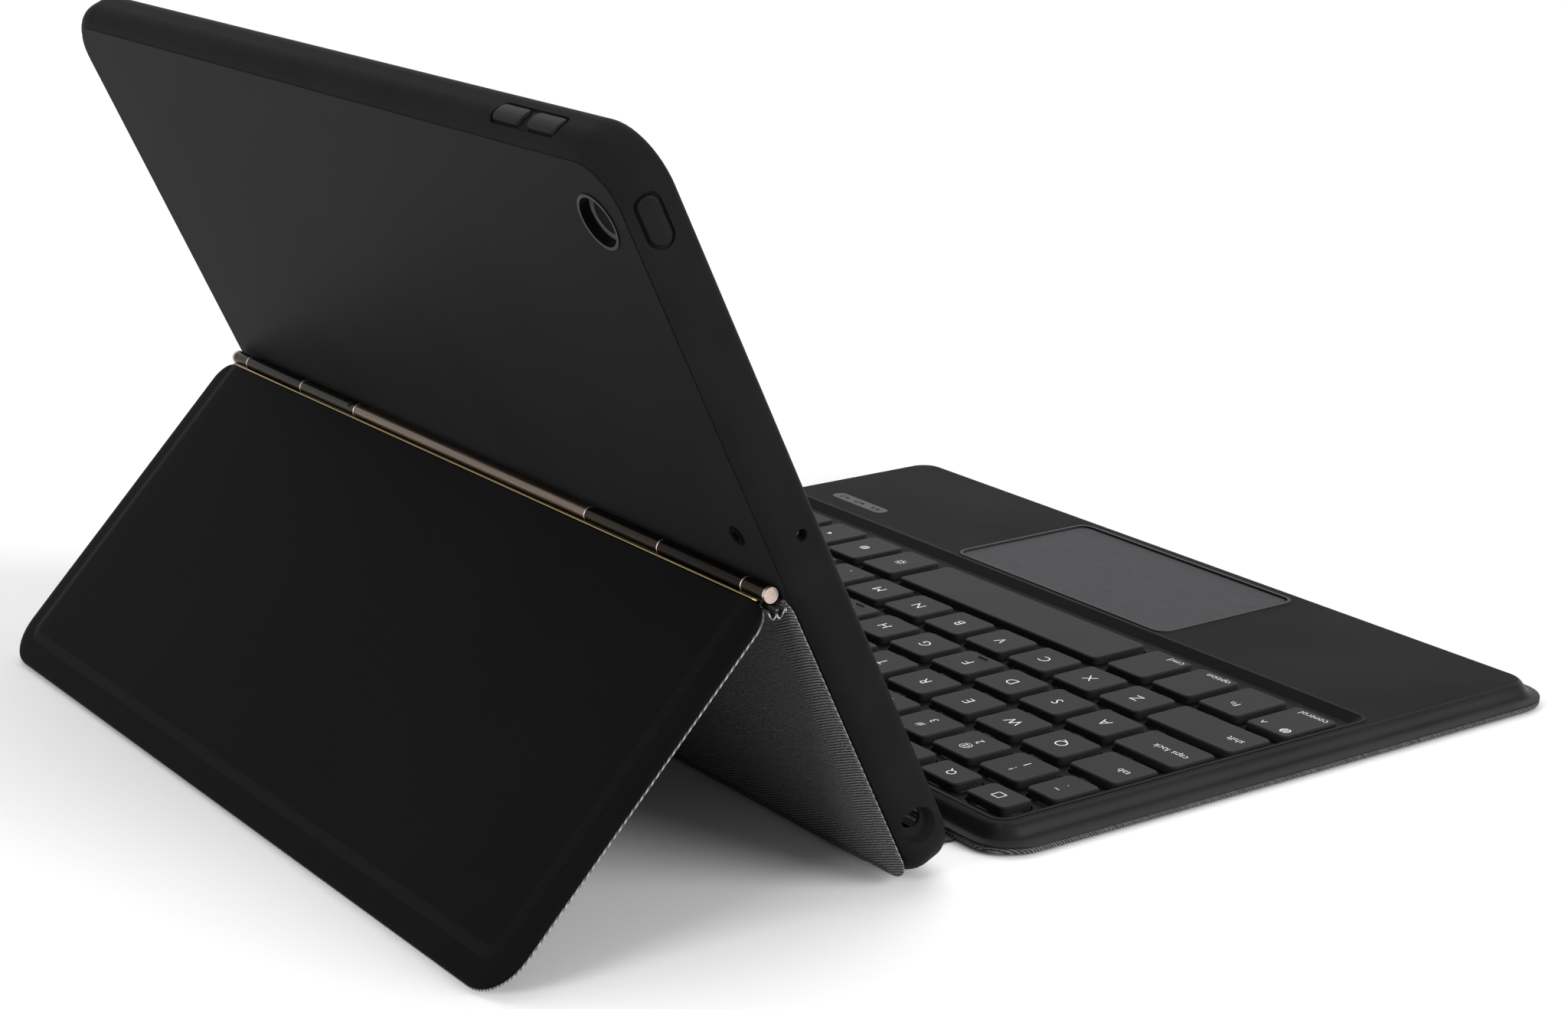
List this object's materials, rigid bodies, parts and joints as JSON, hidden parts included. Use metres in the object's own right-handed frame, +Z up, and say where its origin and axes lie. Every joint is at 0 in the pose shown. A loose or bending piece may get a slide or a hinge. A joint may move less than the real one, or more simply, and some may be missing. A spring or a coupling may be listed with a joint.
{
  "type": "tablet keyboard case",
  "caption": "Folio case for a tablet: moulded shell with a hinged kickstand on its back, and a fold-over fabric spine carrying a keyboard with a trackpad.",
  "frame": {"origin": "centre of the footprint on the floor, with the case standing open", "axes": "+X to the user's right, +Y away from the user, +Z up"},
  "size_m": [0.2572, 0.299, 0.1665],
  "materials": {
    "rim_plastic": "soft moulded, fine matte grain",
    "back_plastic": "stiff moulded plate, fine matte grain",
    "button_plastic": "moulded",
    "ring_plastic": "polished black",
    "lens_window": "dark clear window",
    "lining_felt": "soft brushed lining",
    "board": "grey stiffening board",
    "ribbed_fabric": "ribbed melange weave",
    "soft_lining": "brushed grey lining",
    "dark_bronze": "satin bronze coat",
    "bronze": "satin bronze coat",
    "steel": "plain steel",
    "magnet": "nickel plated",
    "soft_skin": "smooth synthetic leather, pressed",
    "deck_skin": "fine grained synthetic leather",
    "key_plastic": "fine matte",
    "frame_plastic": "moulded",
    "window_plastic": "translucent grey",
    "pad_plastic": "smooth touch coat",
    "sheet_film": "thin film",
    "dome_rubber": "soft",
    "circuit": "coated board",
    "tray_plastic": "moulded",
    "cell_foil": "foil pouch",
    "port_metal": "plated"
  },
  "bodies": {
    "shell": {"shell_rim": "rim_plastic", "shell_back": "back_plastic", "shell_lining": "lining_felt", "camera_ring": "ring_plastic", "camera_window": "lens_window", "mic_ring": "ring_plastic", "back_panel_board": "board", "back_panel_fabric": "ribbed_fabric", "hinge_fixed_leaf": "bronze", "hinge_pin": "steel", "hinge_end_caps": "bronze", "hinge_panel_rivets": "steel"},
    "kickstand": {"kickstand_skin": "soft_skin", "kickstand_board": "board", "kickstand_lining": "soft_lining", "kickstand_magnets": "magnet", "hinge_moving_leaf": "dark_bronze", "hinge_stand_rivets": "steel"},
    "spine": {"spine_fabric": "ribbed_fabric", "spine_lining": "soft_lining"},
    "keyboard": {"keyboard_fabric": "ribbed_fabric", "keyboard_skin": "deck_skin", "keyboard_tray": "tray_plastic", "key_frame": "frame_plastic", "support_plate": "steel", "key_membrane": "sheet_film", "rubber_domes": "dome_rubber", "light_guide": "sheet_film", "indicator_window": "window_plastic", "trackpad_frame": "frame_plastic", "trackpad_board": "circuit", "trackpad_carrier": "tray_plastic", "battery_left": "cell_foil", "battery_right": "cell_foil", "main_board": "circuit", "charge_port": "port_metal", "plate_screws": "steel", "closing_magnets": "magnet"},
    "function_row": {"function_keys": "key_plastic"},
    "number_row": {"number_keys": "key_plastic"},
    "upper_row": {"upper_letter_keys": "key_plastic"},
    "home_row": {"home_letter_keys": "key_plastic"},
    "lower_row": {"lower_letter_keys": "key_plastic"},
    "modifier_row": {"modifier_keys": "key_plastic"},
    "space_row": {"space_bar": "key_plastic"},
    "trackpad": {"trackpad_plate": "pad_plastic"},
    "switch": {"power_switch": "frame_plastic"},
    "volume_up": {"volume_up_button": "button_plastic"},
    "volume_down": {"volume_down_button": "button_plastic"},
    "power": {"power_button": "button_plastic"}
  },
  "joints": [
    {"name": "kickstand_hinge", "type": "hinge", "parent": "shell", "child": "kickstand", "pos_m": [0, 0.08273, 0.07003], "axis": [1, 0, 0], "range_deg": [-68.3, 80]},
    {"name": "spine_fold", "type": "hinge", "parent": "shell", "child": "spine", "pos_m": [0, 0.04311, 0.0005], "axis": [1, 0, 0], "range_deg": [-24.9, 0]},
    {"name": "keyboard_fold", "type": "hinge", "parent": "spine", "child": "keyboard", "pos_m": [0, 0.02581, 0.0005], "axis": [1, 0, 0], "range_deg": [-90, 0]},
    {"name": "function_press", "type": "slide", "parent": "keyboard", "child": "function_row", "axis": [0, 0, -1], "range_m": [0, 0.0011], "stiffness_N_per_m": 400, "springref_m": -0.0004},
    {"name": "number_press", "type": "slide", "parent": "keyboard", "child": "number_row", "axis": [0, 0, -1], "range_m": [0, 0.0011], "stiffness_N_per_m": 400, "springref_m": -0.0004},
    {"name": "upper_press", "type": "slide", "parent": "keyboard", "child": "upper_row", "axis": [0, 0, -1], "range_m": [0, 0.0011], "stiffness_N_per_m": 400, "springref_m": -0.0004},
    {"name": "home_press", "type": "slide", "parent": "keyboard", "child": "home_row", "axis": [0, 0, -1], "range_m": [0, 0.0011], "stiffness_N_per_m": 400, "springref_m": -0.0004},
    {"name": "lower_press", "type": "slide", "parent": "keyboard", "child": "lower_row", "axis": [0, 0, -1], "range_m": [0, 0.0011], "stiffness_N_per_m": 400, "springref_m": -0.0004},
    {"name": "modifier_press", "type": "slide", "parent": "keyboard", "child": "modifier_row", "axis": [0, 0, -1], "range_m": [0, 0.0011], "stiffness_N_per_m": 400, "springref_m": -0.0004},
    {"name": "space_press", "type": "slide", "parent": "keyboard", "child": "space_row", "axis": [0, 0, -1], "range_m": [0, 0.0011], "stiffness_N_per_m": 400, "springref_m": -0.0004},
    {"name": "trackpad_press", "type": "slide", "parent": "keyboard", "child": "trackpad", "axis": [0, 0, -1], "range_m": [0, 0.0002], "stiffness_N_per_m": 3000, "springref_m": -0.0002},
    {"name": "switch_slide", "type": "slide", "parent": "keyboard", "child": "switch", "axis": [0, -1, 0], "range_m": [0, 0.002]},
    {"name": "volume_up_press", "type": "slide", "parent": "shell", "child": "volume_up", "axis": [0, -0.421, -0.907], "range_m": [0, 0.00035], "stiffness_N_per_m": 1500, "springref_m": -0.0002},
    {"name": "volume_down_press", "type": "slide", "parent": "shell", "child": "volume_down", "axis": [0, -0.421, -0.907], "range_m": [0, 0.00035], "stiffness_N_per_m": 1500, "springref_m": -0.0002},
    {"name": "power_press", "type": "slide", "parent": "shell", "child": "power", "axis": [1, 0, 0], "range_m": [0, 0.00035], "stiffness_N_per_m": 1500, "springref_m": -0.0002}
  ],
  "couplings": [
    {"joint": "spine_fold", "follows": "keyboard_fold", "ratio": 0.27667}
  ]
}
